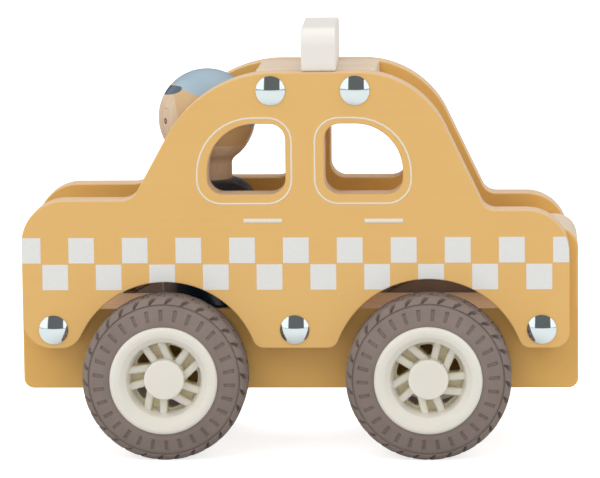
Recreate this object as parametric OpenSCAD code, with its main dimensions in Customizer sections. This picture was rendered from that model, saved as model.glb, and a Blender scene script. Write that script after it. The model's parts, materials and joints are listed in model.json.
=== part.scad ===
// Toy taxi. Two sawn wooden sides are bolted to a chassis block and a roof block,
// four fat wheels turn on two steel axles, and a peg driver lifts out of the cabin.
// The front is -X, the car's left side is -Y and the floor is z = 0. Sizes are in mm.

/* [Chassis block] */
// Length of the chassis block
chassis_l = 176.6; // [172:0.2:200]
// Width of the chassis block, which sets the room between the sides
chassis_w = 32; // [28:0.5:40]
// Height of the chassis block
chassis_h = 25.6; // [24:0.2:32]
// Rounding of its lower ends
chassis_end_r = 3.2; // [1:0.2:6]

/* [Side panels] */
// Thickness of each side panel
panel_t = 10; // [6:0.5:14]
// Setback of a panel's front edge from the end of the chassis
front_setback = 1.3; // [0:0.1:5]
// Setback of a panel's rear edge from the end of the chassis
rear_setback = 2.9; // [0:0.1:5]
// Height of a panel's lower edge above the underside of the chassis
panel_lift = 14.5; // [12:0.5:16]
// Height of the bonnet above the panel's lower edge
bonnet_h = 47; // [42:0.2:54]
// Height of the boot above the panel's lower edge
boot_h = 43.6; // [40:0.2:50]
// Height of the roof above the panel's lower edge
roof_h = 87.2; // [80:0.2:96]
// Length of the cabin between the feet of its two screens
cabin_l = 111.1; // [104:0.1:114]
// Distance of the cabin's middle behind the car's middle
cabin_back = 3.7; // [0:0.1:6]
// Slope of the windscreen edge, in degrees
windscreen_slope = 61; // [52:0.5:68]
// Slope of the rear screen edge, in degrees
rear_screen_slope = 64.5; // [56:0.5:70]
// Radius where the windscreen runs into the roof
roof_front_r = 39; // [20:0.5:40]
// Radius where the roof runs into the rear screen
roof_rear_r = 30; // [18:0.5:36]
// Radius at the nose and at the tail
nose_r = 13.5; // [6:0.5:18]
// Radius at the foot of the windscreen
windscreen_foot_r = 6; // [2:0.5:10]
// Radius at the foot of the rear screen
rear_screen_foot_r = 5; // [2:0.5:10]
// Radius of the lower front corner
chin_r = 9; // [2:0.5:11]
// Radius of the lower rear corner
heel_r = 5; // [2:0.5:9]
// Radius of the panel's corner in front of the front wheel
front_lobe_r = 7; // [2:0.5:8]
// Radius of the panel's other corners at the wheel arches
arch_corner_r = 3.6; // [2:0.2:6]
// Room between a front tyre and its wheel arch
front_arch_gap = 3.6; // [2:0.1:5]
// Room between a rear tyre and its wheel arch
rear_arch_gap = 4.4; // [2:0.1:5]

/* [Windows] */
// Height of the windows
window_h = 22.2; // [16:0.2:28]
// Length of each window
window_l = 24.6; // [18:0.2:28]
// Distance from the roof down to the windows
window_drop = 16.1; // [14:0.1:22]
// Width of the post between the windows
post_w = 12.2; // [8:0.2:18]
// Distance of the post's middle ahead of the cabin's middle
post_ahead = 1; // [-4:0.5:6]
// Radius of the small window corners
window_r = 5; // [2:0.5:7]
// Radius of the large corner under the screen
window_big_r = 15; // [8:0.5:16]

/* [Roof and rear blocks] */
// Length of the roof block
roof_block_l = 38; // [36:0.1:48]
// Height of the roof block
roof_block_h = 12; // [11:0.5:15]
// Room between the driver's head and the roof block
roof_block_gap = 1.2; // [0.6:0.1:4]
// Thickness of the roof sign
sign_t = 11; // [9:0.5:14]
// Height of the roof sign
sign_h = 13.5; // [12:0.1:20]
// Distance from the sign's ends to the outer faces of the panels
sign_inset = 2; // [0:0.5:8]
// Radius along the sign's two upper ends
sign_r = 6; // [2:0.5:8]
// Distance from the roof block's middle to the sign's middle
sign_offset = 0.8; // [-2:0.1:2]
// Length of the rear block
rear_block_l = 14; // [11:0.5:18]
// Distance from the boot line down to the top of the rear block
rear_block_drop = 6.5; // [2:0.5:14]
// Radius of the rear block's top edge
rear_block_r = 7; // [2:0.5:10]

/* [Wheels] */
// Diameter of the tyres
tyre_d = 52; // [50:0.2:56]
// Width of a wheel
wheel_w = 21; // [19:0.5:26]
// Distance of the front axle from the quarter point of the chassis towards its middle
front_axle_in = 2.4; // [1:0.05:4]
// Distance of the rear axle from the other quarter point towards the middle
rear_axle_in = 2.95; // [1:0.05:4]
// Height of the axles above the underside of the chassis
axle_up = 6; // [5.6:0.1:8]
// Radius of the tyre's shoulders
shoulder_r = 3.2; // [1:0.1:5]
// Angle at which a shoulder leaves the wall, in degrees
shoulder_start = 66; // [55:1:75]
// Radius of the flat part of a tyre's wall
wall_flat_r = 18.6; // [18:0.1:20]
// Fall of the wall from its flat part to the tread
wall_fall = 1.8; // [1:0.1:2.4]
// Distance of the groove ring from the tread
ring_in = 0.35; // [0.3:0.05:0.8]
// Diameter of the rim's flange
rim_d = 34; // [32:0.2:37]
// Diameter of the rim's opening
rim_open_d = 24; // [22:0.2:25]
// Narrowing of the opening from its front to the web, on the radius
open_draft = 1.3; // [0.6:0.1:1.6]
// Depth of the opening's edge below the rim's front
open_drop = 2.6; // [1.6:0.2:3.4]
// Diameter of the hub
hub_d = 12.6; // [11:0.2:13]
// Depth of the hub's end below the rim's front
hub_drop = 2.4; // [0.8:0.2:4]
// Depth of the spokes below the rim's front
spoke_drop = 6.2; // [3:0.2:7]
// Depth of the web below the rim's front
web_drop = 9.8; // [8:0.2:11]
// Thickness of the web behind the spokes
web_t = 2.5; // [1.5:0.1:4]
// Width of one spoke
spoke_w = 2.4; // [1.4:0.1:2.6]
// Pairs of spokes on a rim
spoke_pairs = 5; // [4:1:6]
// Lean of the spoke on one side of a hole, in degrees
lean_near = 16; // [12:0.5:20]
// Lean of the spoke on the other side of a hole, in degrees
lean_far = 46; // [38:0.5:48]
// Distance from the hub to the narrow end of a hole
hole_out = 0.4; // [0.2:0.1:0.8]
// Sideways shift of the narrow end of a hole
hole_shift = 0.6; // [0:0.1:1]
// Width of the narrow end of a hole
hole_mouth = 1; // [0.6:0.1:1.6]
// Width of the ledge between a hole and its spokes
hole_ledge = 0.15; // [0.1:0.05:0.3]
// Width of the web outside the holes
web_edge = 0.5; // [0.4:0.1:1]
// Height of the rim's flanges above the tyre's seat
flange_h = 2.4; // [1.8:0.1:2.8]
// Thickness of the rim's flanges
flange_t = 1.6; // [1.2:0.1:2.4]
// Bevel along the rim's edges
rim_bevel = 0.8; // [0.4:0.1:1]
// Depth of the step inside the rim's lip
lip_drop = 0.3; // [0.1:0.1:0.6]
// Thickness of the rim's barrel behind the web
barrel_t = 2; // [1.2:0.1:2.6]
// Thickness of the hub in front of the axle's end
hub_front_t = 4.6; // [3:0.2:9]
// Setback of the tyre's outer side from the rim's front
tyre_out_setback = 1.3; // [0.4:0.1:1.4]
// Setback of the tyre's inner side from the rim's back
tyre_in_setback = 0.8; // [0.4:0.1:1.1]
// Width of the groove ring, which is as deep as it is wide
groove_w = 0.5; // [0.2:0.1:0.8]

/* [Axles and bushes] */
// Diameter of the axles
axle_d = 4; // [3:0.5:5]
// Running clearance of an axle in its bushes, on the radius
axle_play = 0.05; // [0.02:0.01:0.1]
// Outer diameter of the bushes
bush_d = 7; // [6.4:0.2:8]
// Length of a bush inside the chassis
bush_l = 9; // [6:0.5:12]
// Diameter of a bush's flange
bush_flange_d = 10; // [8.6:0.2:11]
// Thickness of a bush's flange
bush_flange_t = 0.8; // [0.5:0.1:1.5]
// End play between a bush and a wheel
end_play = 0.2; // [0.1:0.05:0.5]

/* [Bolts and dowels] */
// Diameter of the bolts
bolt_d = 4; // [3:0.5:5]
// Diameter of the domed heads
head_d = 9.2; // [8:0.1:10]
// Height of the domed heads
head_h = 2; // [1.5:0.1:3.5]
// Height of the straight edge below the dome
head_edge = 0.4; // [0.2:0.1:0.8]
// Outer diameter of a nut's sleeve
sleeve_d = 6; // [5.6:0.2:7]
// Distance from a sleeve's end to the inner face of its panel
sleeve_short = 1; // [0.5:0.1:3]
// Distance from a bolt's end to the outer face of the right panel
bolt_short = 1; // [0.5:0.1:3]
// Height of the lower bolts above the panel's lower edge
bolt_up = 6; // [5:0.2:7.4]
// Distance of the middle lower bolt ahead of the midpoint between the axles
mid_bolt_ahead = 0.7; // [-3:0.1:3]
// Distance of the roof bolts below the roof
bolt_roof_drop = 5.6; // [5:0.1:6.4]
// Distance of the front roof bolt from the roof block's front end
roof_bolt_front_in = 5.3; // [5:0.1:8]
// Distance of the rear roof bolt from the roof block's rear end
roof_bolt_rear_in = 6.3; // [5:0.1:8]
// Diameter of the dowels
dowel_d = 6; // [4:0.5:6]
// Depth of a dowel in the sign and in the blocks
dowel_depth = 8; // [5:0.5:9]
// Distance of each sign dowel from the car's middle line
dowel_out = 9; // [7:0.5:11]
// Wood left between a rear dowel's end and the outer face of a panel
dowel_wall = 3; // [2:0.5:4]
// Clearance of a fixed piece in its hole, on the radius
fit = 0.05; // [0.02:0.01:0.15]

/* [Driver] */
// Distance of the driver ahead of the cabin's middle
driver_ahead = 33.5; // [31:0.1:37]
// Side clearance of the body between the panels
body_gap = 0.7; // [0.4:0.1:2]
// Side clearance of the head between the panels
ball_gap = 0.5; // [0.4:0.1:2]
// Height of the body
body_h = 39.9; // [34:0.1:44]
// Radius of the shoulders
body_shoulder_r = 7.5; // [4:0.5:8]
// Diameter of the neck
neck_d = 15.6; // [12:0.2:18]
// Visible length of the neck
neck_l = 4.1; // [3:0.1:7]
// Diameter of the spigot that holds the head in the body
spigot_d = 10; // [8:0.5:11]
// Length of the spigot
spigot_l = 8; // [5:0.5:12]

/* [Hidden] */
$fn = 96;
// Step along a sampled arc, in degrees
arc_step = 3;
// Step along the arcs of a tyre's shoulders, in degrees
shoulder_step = 15;
// Gap under the standing driver
seat_gap = 0.05;
// Reach of a cut past the face that it opens
past = 1;
// Turn of each rim on its axle, left then right, in degrees
front_turns = [-3, 40];
rear_turns = [21, 10];

tyre_r = tyre_d / 2;
rim_r = rim_d / 2;
open_r = rim_open_d / 2;
web_r = open_r - open_draft;
hub_r = hub_d / 2;
axle_r = axle_d / 2;
bolt_r = bolt_d / 2;
sleeve_r = sleeve_d / 2;
half_w = chassis_w / 2;
half_l = chassis_l / 2;
side_y = half_w + panel_t;

// Heights above the floor
axle_z = tyre_r;
chassis_z = axle_z - axle_up;
chassis_top = chassis_z + chassis_h;
panel_z = chassis_z + panel_lift;
bonnet_z = panel_z + bonnet_h;
boot_z = panel_z + boot_h;
roof_z = panel_z + roof_h;
window_top = roof_z - window_drop;
roof_block_z = roof_z - roof_block_h;
bolt_z = panel_z + bolt_up;
roof_bolt_z = roof_z - bolt_roof_drop;
rear_block_top = boot_z - rear_block_drop;

// Places along the car
front_x = -half_l + front_setback;
rear_x = half_l - rear_setback;
axle_x = [-half_l / 2 + front_axle_in, half_l / 2 - rear_axle_in];
windscreen_foot_x = cabin_back - cabin_l / 2;
rear_screen_foot_x = cabin_back + cabin_l / 2;
post_x = cabin_back - post_ahead;
roof_front_x = windscreen_foot_x + (roof_h - bonnet_h) / tan(windscreen_slope);
roof_rear_x = rear_screen_foot_x - (roof_h - boot_h) / tan(rear_screen_slope);
driver_x = cabin_back - driver_ahead;

// The rear dowels stand in the middle of the area where a panel covers the rear block
rear_dowel_x = (half_l - rear_block_l + rear_x) / 2;
rear_dowel_z = (chassis_top + rear_block_top) / 2;

// Wheels and axles. A wheel's own axis starts at its inner face and points outwards.
arch_r = [tyre_r + front_arch_gap, tyre_r + rear_arch_gap];
wheel_in = half_w + bush_flange_t + end_play;
seat_r = rim_r - flange_h;
back_r = seat_r - barrel_t;
web_front = wheel_w - web_drop;
web_back = web_front - web_t;
spoke_h = web_drop - spoke_drop;
hub_front = wheel_w - hub_drop;
hub_bore_l = hub_front - hub_front_t;
axle_half_l = wheel_in + hub_bore_l - fit;

// The narrow end of the first hole, its two corners and the way to its far corners
hole_start = [hub_r + hole_out, -hole_shift];
hole_far = hole_start + [0, hole_mouth / 2];
hole_near = hole_start - [0, hole_mouth / 2];
spoke_root = hub_r / 3;
reach = rim_open_d;

// Driver
body_r = half_w - body_gap;
ball_r = half_w - ball_gap;
driver_z = chassis_top + seat_gap;
body_top = driver_z + body_h;
ball_z = body_top + neck_l + ball_r;

// Roof block, its sign and the places of the bolts, which stand in the middle of the panel's
// feet before and behind the wheels
roof_block_x = driver_x + max(ball_r, body_r) + roof_block_gap;
sign_x = roof_block_x + roof_block_l / 2 + sign_offset;
sleeve_l = panel_t - sleeve_short;
arch_half_l = [for (r = arch_r) sqrt(pow(r, 2) - pow(bolt_z - axle_z, 2))];
bolt_spots = [
    [(front_x + axle_x[0] - arch_half_l[0]) / 2, bolt_z],
    [(axle_x[0] + axle_x[1]) / 2 - mid_bolt_ahead, bolt_z],
    [(rear_x + axle_x[1] + arch_half_l[1]) / 2, bolt_z],
    [roof_block_x + roof_bolt_front_in, roof_bolt_z],
    [roof_block_x + roof_block_l - roof_bolt_rear_in, roof_bolt_z]
];

WOOD = "burlywood";
YELLOW = "#e3b573";
OFF_WHITE = "#ebe8de";
TAUPE = "#887a73";
STEEL = "silver";
NAVY = "#192d3c";

// Points of an arc about c, from angle a to angle b
function arc(c, r, a, b, step = arc_step) =
    let (n = max(2, ceil(abs(b - a) / step)))
    [for (i = [0:n]) c + r * [cos(a + (b - a) * i / n), sin(a + (b - a) * i / n)]];

function unit(v) = v / norm(v);

// Points of the rounded corner at p, between the points before and after it
function corner(before, p, after, r) =
    let (u = unit(before - p), v = unit(after - p), half = acos(u * v) / 2)
    let (c = p + unit(u + v) * r / sin(half))
    let (s = p + u * r / tan(half) - c, e = p + v * r / tan(half) - c)
    let (a = atan2(s.y, s.x), turn = atan2(s.x * e.y - s.y * e.x, s * e))
    arc(c, r, a, a + turn);

// Outline with the corners p rounded by the radii r
function rounded(p, r) =
    let (n = len(p))
    [for (i = [0:n - 1]) each corner(p[(i + n - 1) % n], p[i], p[(i + 1) % n], r[i])];

// Middle of the rounded corner of radius r beside wheel arch i, on the given side of it. The
// front arch is 0 and the rear arch is 1.
function arch_corner(i, side, r) =
    let (rise = panel_z + r - axle_z)
    [axle_x[i] + side * sqrt(pow(arch_r[i] + r, 2) - pow(rise, 2)), panel_z + r];

// Wheel arch i from its rear corner to its front corner
function arch_edge(i, rear_r, front_r) =
    let (hub = [axle_x[i], axle_z])
    let (rc = arch_corner(i, 1, rear_r), fc = arch_corner(i, -1, front_r))
    let (ra = atan2(rc.y - hub.y, rc.x - hub.x), fa = atan2(fc.y - hub.y, fc.x - hub.x))
    concat(arc(rc, rear_r, -90, ra - 180), arc(hub, arch_r[i], ra, fa),
        arc(fc, front_r, fa - 180, -90));

// Share of two corners' radii that fits on the line of length l between them, whose corners turn
// by the angles a and b
function corner_share(l, ra, a, rb, b) = min(1, l / (ra * tan(a / 2) + rb * tan(b / 2)));

// Outline of a side panel: its upper corners in order, then the two wheel arches
function panel_outline() =
    let (low_front = arch_corner(0, -1, front_lobe_r))
    let (low_rear = arch_corner(1, 1, arch_corner_r))
    let (chin = min(chin_r, low_front.x - front_x), heel = min(heel_r, rear_x - low_rear.x))
    let (p = [[front_x, panel_z], [front_x, bonnet_z], [windscreen_foot_x, bonnet_z],
        [roof_front_x, roof_z], [roof_rear_x, roof_z], [rear_screen_foot_x, boot_z],
        [rear_x, boot_z], [rear_x, panel_z]])
    let (slope_f = windscreen_slope, slope_r = rear_screen_slope)
    let (bonnet_l = windscreen_foot_x - front_x, boot_l = rear_x - rear_screen_foot_x)
    let (bonnet = corner_share(bonnet_l, nose_r, 90, windscreen_foot_r, slope_f))
    let (roof = corner_share(roof_rear_x - roof_front_x, roof_front_r, slope_f, roof_rear_r, slope_r))
    let (boot = corner_share(boot_l, rear_screen_foot_r, slope_r, nose_r, 90))
    let (r = [chin, bonnet * nose_r, bonnet * windscreen_foot_r, roof * roof_front_r,
        roof * roof_rear_r, boot * rear_screen_foot_r, boot * nose_r, heel])
    concat(rounded(p, r), arch_edge(1, arch_corner_r, arch_corner_r),
        arch_edge(0, arch_corner_r, front_lobe_r));

// Outline of a window on one side of the post: side is -1 in front of it and 1 behind it
function window_outline(side) =
    let (a = post_x + side * post_w / 2, b = a + side * window_l, low = window_top - window_h)
    rounded([[a, low], [a, window_top], [b, window_top], [b, low]],
        [window_r, window_r, window_big_r, window_r]);

// Stands an outline drawn in X and Z upright, from y towards -Y
module upright(y, t) {
    translate([0, y, 0]) rotate([90, 0, 0]) linear_extrude(t) children();
}

// A round bar across the car, between two values of Y
module cross_bar(spot, r, y0, y1) {
    translate([spot.x, y1, spot.y]) rotate([90, 0, 0]) cylinder(r = r, h = y1 - y0);
}

// A side panel from y towards -Y, with bolt holes of radius hole_r
module side_panel(y, hole_r) {
    color(YELLOW) difference() {
        upright(y, panel_t) polygon(panel_outline());
        for (side = [-1, 1]) upright(y + past, panel_t + 2 * past) polygon(window_outline(side));
        for (spot = bolt_spots) cross_bar(spot, hole_r, y - panel_t - past, y + past);
        rear_dowel_pair(fit);
    }
}

module left_side_panel() side_panel(-half_w, bolt_r + fit);

module right_side_panel() side_panel(side_y, sleeve_r + fit);

// The upright dowels between the roof block and the sign, or their holes with the clearance gap
module sign_dowel_pair(gap) {
    for (side = [-1, 1]) translate([sign_x, side * dowel_out, roof_z])
        cylinder(r = dowel_d / 2 + gap, h = 2 * (dowel_depth + gap), center = true);
}

// The cross dowels between the panels and the rear block, or their holes with the clearance gap
module rear_dowel_pair(gap) {
    inner = half_w - dowel_depth - gap;
    outer = side_y - dowel_wall + gap;
    spot = [rear_dowel_x, rear_dowel_z];
    for (y = [-outer, inner]) cross_bar(spot, dowel_d / 2 + gap, y, y + outer - inner);
}

module chassis_block() {
    low = chassis_z;
    color(WOOD) difference() {
        upright(half_w, chassis_w) polygon(concat(
            [[half_l, chassis_top], [-half_l, chassis_top]],
            arc([-half_l + chassis_end_r, low + chassis_end_r], chassis_end_r, 180, 270),
            arc([half_l - chassis_end_r, low + chassis_end_r], chassis_end_r, 270, 360)));
        for (x = axle_x) cross_bar([x, axle_z], bush_d / 2 + fit, -half_w - past, half_w + past);
        for (i = [0:2]) cross_bar(bolt_spots[i], bolt_r + fit, -half_w - past, half_w + past);
    }
}

module rear_block() {
    middle = [half_l - rear_block_r, rear_block_top - rear_block_r];
    front = half_l - rear_block_l;
    color(WOOD) difference() {
        upright(half_w, chassis_w) polygon(concat(
            [[half_l, chassis_top], [front, chassis_top], [front, rear_block_top]],
            arc(middle, rear_block_r, 90, 0)));
        rear_dowel_pair(fit);
    }
}

module roof_block() {
    color(WOOD) difference() {
        translate([roof_block_x, -half_w, roof_block_z]) cube([roof_block_l, chassis_w, roof_block_h]);
        for (i = [3:4]) cross_bar(bolt_spots[i], bolt_r + fit, -half_w - past, half_w + past);
        sign_dowel_pair(fit);
    }
}

// The sign is a flat-topped block with round upper ends
module roof_sign() {
    end = side_y - sign_inset;
    color(OFF_WHITE) difference() {
        translate([sign_x - sign_t / 2, 0, roof_z]) rotate([90, 0, 90]) linear_extrude(sign_t)
            polygon(concat([[-end, 0], [end, 0]], arc([end - sign_r, sign_h - sign_r], sign_r, 0, 90),
                arc([sign_r - end, sign_h - sign_r], sign_r, 90, 180)));
        sign_dowel_pair(fit);
    }
}

module sign_dowels() {
    color(WOOD) sign_dowel_pair(0);
}

module rear_block_dowels() {
    color(WOOD) rear_dowel_pair(0);
}

// A shallow dome with a straight edge that stands on z = 0
module dome() {
    rise = head_h - head_edge;
    ball = (pow(head_d / 2, 2) + pow(rise, 2)) / (2 * rise);
    intersection() {
        translate([0, 0, head_h - ball]) sphere(r = ball);
        cylinder(d = head_d, h = head_h + past);
    }
}

// Bolts enter from the left and end inside the nuts on the right
module through_bolts() {
    color(STEEL) for (spot = bolt_spots) {
        translate([spot.x, -side_y, spot.y]) rotate([90, 0, 0]) dome();
        cross_bar(spot, bolt_r, -side_y, side_y - bolt_short);
    }
}

module cap_nuts() {
    color(STEEL) for (spot = bolt_spots) difference() {
        union() {
            translate([spot.x, side_y, spot.y]) rotate([-90, 0, 0]) dome();
            cross_bar(spot, sleeve_r, side_y - sleeve_l, side_y);
        }
        cross_bar(spot, bolt_r + fit, half_w, side_y - bolt_short + fit);
    }
}

module axle(x) {
    color(STEEL) cross_bar([x, axle_z], axle_r, -axle_half_l, axle_half_l);
}

module front_axle() axle(axle_x[0]);

module rear_axle() axle(axle_x[1]);

// Puts a piece drawn along a wheel's own axis on one side of the car
module at_side(x, side, y) {
    translate([x, side * y, axle_z]) rotate([-side * 90, 0, 0]) children();
}

module bushes(x) {
    color("ivory") for (side = [-1, 1]) at_side(x, side, half_w) difference() {
        union() {
            translate([0, 0, -bush_l]) cylinder(d = bush_d, h = bush_l);
            cylinder(d = bush_flange_d, h = bush_flange_t);
        }
        translate([0, 0, -bush_l - past])
            cylinder(r = axle_r + axle_play, h = bush_l + bush_flange_t + 2 * past);
    }
}

module front_axle_bushes() bushes(axle_x[0]);

module rear_axle_bushes() bushes(axle_x[1]);

// Half section of a rim: hub, hollow back, tyre seat between two flanges, lip, dish and web
module rim_section() {
    front = wheel_w;
    ring = front - lip_drop;
    back_flange_r = rim_r - rim_bevel;
    polygon([[0, 0], [hub_r, 0], [hub_r, web_back], [back_r, web_back], [back_r, 0],
        [back_flange_r, 0], [back_flange_r, flange_t], [seat_r, flange_t],
        [seat_r, front - flange_t], [rim_r, front - flange_t],
        [rim_r, front - rim_bevel], [rim_r - rim_bevel, front],
        [seat_r + lip_drop, front], [seat_r, ring], [open_r, front - open_drop],
        [web_r, web_front], [hub_r, web_front],
        [hub_r, hub_front - rim_bevel], [hub_r - rim_bevel / 2, hub_front], [0, hub_front]]);
}

// The two spokes that lean away from the first hole
module spoke_pair() {
    translate(hole_far) rotate(lean_far) translate([-spoke_root, hole_ledge])
        square([reach, spoke_w]);
    translate(hole_near) rotate(-lean_near) translate([-spoke_root, -spoke_w - hole_ledge])
        square([reach, spoke_w]);
}

// The first hole in the web widens from the hub to the edge of the web
module web_hole() {
    far_end = hole_far + reach * [cos(lean_far), sin(lean_far)];
    near_end = hole_near + reach * [cos(lean_near), -sin(lean_near)];
    intersection() {
        polygon([hole_near, hole_far, far_end, near_end]);
        circle(r = web_r - web_edge);
    }
}

// A rim with its first hole turned by the angle turn
module rim(turn) {
    pitch = 360 / spoke_pairs;
    color(OFF_WHITE) difference() {
        union() {
            rotate_extrude() rim_section();
            translate([0, 0, web_front - web_t / 2]) linear_extrude(web_t / 2 + spoke_h)
                intersection() {
                    for (k = [1:spoke_pairs]) rotate(turn + k * pitch) spoke_pair();
                    circle(r = (open_r + seat_r) / 2);
                }
        }
        for (k = [1:spoke_pairs]) rotate(turn + k * pitch)
            translate([0, 0, web_back - past]) linear_extrude(web_t + 2 * past) web_hole();
        translate([0, 0, -past]) cylinder(r = axle_r + fit / 2, h = hub_bore_l + past);
    }
}

module front_left_rim() at_side(axle_x[0], -1, wheel_in) rim(front_turns[0]);

module front_right_rim() at_side(axle_x[0], 1, wheel_in) rim(front_turns[1]);

module rear_left_rim() at_side(axle_x[1], -1, wheel_in) rim(rear_turns[0]);

module rear_right_rim() at_side(axle_x[1], 1, wheel_in) rim(rear_turns[1]);

// One side of a tyre's section as radius and fall: flat wall, cone, groove ring and shoulder
function tyre_side() =
    let (flat = [wall_flat_r, 0])
    let (tread = [tyre_r - shoulder_r * (1 - cos(shoulder_start)), wall_fall])
    let (back = unit(flat - tread))
    let (out = tread + back * (ring_in - groove_w / 2), in = tread + back * (ring_in + groove_w / 2))
    let (middle = [tyre_r - shoulder_r, wall_fall + shoulder_r * sin(shoulder_start)])
    concat([flat, in, (in + out) / 2 + [0, groove_w], out],
        arc(middle, shoulder_r, -shoulder_start, 0, shoulder_step));

// Half section of a tyre: its foot sits between the flanges of the rim
module tyre_section() {
    low = tyre_in_setback;
    high = wheel_w - tyre_out_setback;
    seat_low = flange_t + fit;
    seat_high = wheel_w - flange_t - fit;
    inner_foot_r = rim_r - rim_bevel + fit;
    side = tyre_side();
    last = len(side) - 1;
    polygon(concat(
        [[seat_r + fit, seat_low], [seat_r + fit, seat_high],
            [rim_r + fit, seat_high], [rim_r + fit, high]],
        [for (p = side) [p.x, high - p.y]],
        [for (i = [0:last]) [side[last - i].x, low + side[last - i].y]],
        [[inner_foot_r, low], [inner_foot_r, seat_low]]));
}

module tyre() {
    color(TAUPE) rotate_extrude() tyre_section();
}

module front_left_tyre() at_side(axle_x[0], -1, wheel_in) tyre();

module front_right_tyre() at_side(axle_x[0], 1, wheel_in) tyre();

module rear_left_tyre() at_side(axle_x[1], -1, wheel_in) tyre();

module rear_right_tyre() at_side(axle_x[1], 1, wheel_in) tyre();

// The body is a turned cylinder with round shoulders and a socket for the head
module driver_body() {
    low = body_h - body_shoulder_r;
    inner = body_r - body_shoulder_r;
    color(NAVY) translate([driver_x, 0, driver_z]) difference() {
        rotate_extrude() {
            square([body_r, low]);
            square([inner, body_h]);
            intersection() {
                translate([inner, low]) circle(r = body_shoulder_r);
                translate([inner, low]) square([body_shoulder_r, body_shoulder_r]);
            }
        }
        translate([0, 0, body_h - spigot_l - fit])
            cylinder(r = spigot_d / 2 + fit, h = spigot_l + past);
    }
}

// The head is a ball with its neck and a spigot in one turned piece
module driver_head() {
    color(WOOD) translate([driver_x, 0, 0]) {
        translate([0, 0, ball_z]) sphere(r = ball_r);
        translate([0, 0, body_top]) cylinder(d = neck_d, h = neck_l + ball_r / 2);
        translate([0, 0, body_top - spigot_l]) cylinder(d = spigot_d, h = spigot_l + past);
    }
}

left_side_panel();
right_side_panel();
chassis_block();
rear_block();
roof_block();
roof_sign();
through_bolts();
cap_nuts();
sign_dowels();
rear_block_dowels();
front_axle();
rear_axle();
front_axle_bushes();
rear_axle_bushes();
front_left_rim();
front_right_rim();
rear_left_rim();
rear_right_rim();
front_left_tyre();
front_right_tyre();
rear_left_tyre();
rear_right_tyre();
driver_body();
driver_head();
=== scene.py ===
# %% [markdown]
# # A wooden toy taxi
# The real toy is a sandwich: two sawn and painted sides, bolted to a chassis block and a roof block,
# on four rubber tyres, with a loose peg driver. The frame holds every piece at its real size and place,
# so this lesson adds what the eye needs: rounded edges, print, tread, paint and light.

import json
from math import atan2, ceil, cos, degrees, pi, radians, sin, sqrt, tan

import bmesh
import bpy
import numpy as np
from mathutils import Matrix, Vector


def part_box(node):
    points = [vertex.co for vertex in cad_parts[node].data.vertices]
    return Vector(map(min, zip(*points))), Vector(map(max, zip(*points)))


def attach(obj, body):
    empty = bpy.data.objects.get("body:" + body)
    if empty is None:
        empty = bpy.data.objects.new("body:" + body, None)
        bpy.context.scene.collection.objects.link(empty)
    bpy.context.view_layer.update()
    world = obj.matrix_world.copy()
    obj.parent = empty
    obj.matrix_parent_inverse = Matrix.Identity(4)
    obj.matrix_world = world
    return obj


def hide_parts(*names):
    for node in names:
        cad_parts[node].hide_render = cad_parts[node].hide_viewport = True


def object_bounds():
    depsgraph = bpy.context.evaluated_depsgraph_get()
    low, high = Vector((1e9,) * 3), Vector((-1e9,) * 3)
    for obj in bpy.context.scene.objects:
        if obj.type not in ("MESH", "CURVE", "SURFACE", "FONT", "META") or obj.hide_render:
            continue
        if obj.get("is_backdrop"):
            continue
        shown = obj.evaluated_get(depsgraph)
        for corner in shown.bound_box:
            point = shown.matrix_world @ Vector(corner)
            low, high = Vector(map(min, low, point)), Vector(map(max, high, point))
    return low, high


MM = 0.001

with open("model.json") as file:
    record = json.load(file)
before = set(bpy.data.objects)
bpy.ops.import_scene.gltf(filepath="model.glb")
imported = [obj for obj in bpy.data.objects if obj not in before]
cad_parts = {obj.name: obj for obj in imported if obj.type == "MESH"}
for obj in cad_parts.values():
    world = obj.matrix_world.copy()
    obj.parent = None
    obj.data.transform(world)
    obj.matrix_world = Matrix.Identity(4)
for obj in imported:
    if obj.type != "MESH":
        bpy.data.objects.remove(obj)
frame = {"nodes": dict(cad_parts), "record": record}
nodes = frame["nodes"]
cad_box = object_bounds()
scene = bpy.context.scene
scene.view_settings.view_transform = "Standard"


def placed(name, data):
    """Makes an object of a mesh, a lamp or a camera and puts it in the scene."""
    made = bpy.data.objects.new(name, data)
    scene.collection.objects.link(made)
    return made


# %% [markdown]
# ## Camera
# The toy was photographed from its left, a little above the bonnet, through a long lens that keeps the
# wheels round. The eye, the aim and the focal length come from fitting a pinhole camera to known points
# of the toy. The camera's matrix is written out, because the picture is also rolled by half a degree.

# %% Camera
PHOTO_WIDTH_PX = 600
FOCAL_PX = 3869
SENSOR_MM = 36
EYE = Vector((69, -1226, 241.3)) * MM
AIM = Vector((1, -26, 69.3)) * MM
ROLL = radians(-0.62)

forward = (AIM - EYE).normalized()
level = forward.cross(Vector((0, 0, 1))).normalized()
upright = level.cross(forward)
rolled_right = level * cos(ROLL) + upright * sin(ROLL)
rolled_up = upright * cos(ROLL) - level * sin(ROLL)

lens = bpy.data.cameras.new("camera")
lens.sensor_width = SENSOR_MM
lens.lens = FOCAL_PX * SENSOR_MM / PHOTO_WIDTH_PX
camera = placed("camera", lens)
turned = Matrix((rolled_right, rolled_up, -forward)).transposed().to_4x4()
camera.matrix_world = Matrix.Translation(EYE) @ turned
scene.camera = camera
print("lens:", round(lens.lens, 1), "mm, distance:", round((AIM - EYE).length, 3), "m")

# %% [markdown]
# ## Colours and nodes
# Colours are written as they look on a screen, in sRGB hex, but a shader works with linear light, so one
# function converts them. Every tree in this file, for a finish or for a shape, is built by one more small
# function that adds a node, sets it up and links it, and by short forms of it for common steps.

# %% Helpers for colours and nodes
def linear(code):
    """Turns an sRGB hex colour such as #E7BA71 into the linear values that a shader works with."""
    parts = [int(code[at:at + 2], 16) / 255 for at in (1, 3, 5)]
    light = [part / 12.92 if part <= 0.04045 else ((part + 0.055) / 1.055) ** 2.4 for part in parts]
    return (*light, 1.0)


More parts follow.
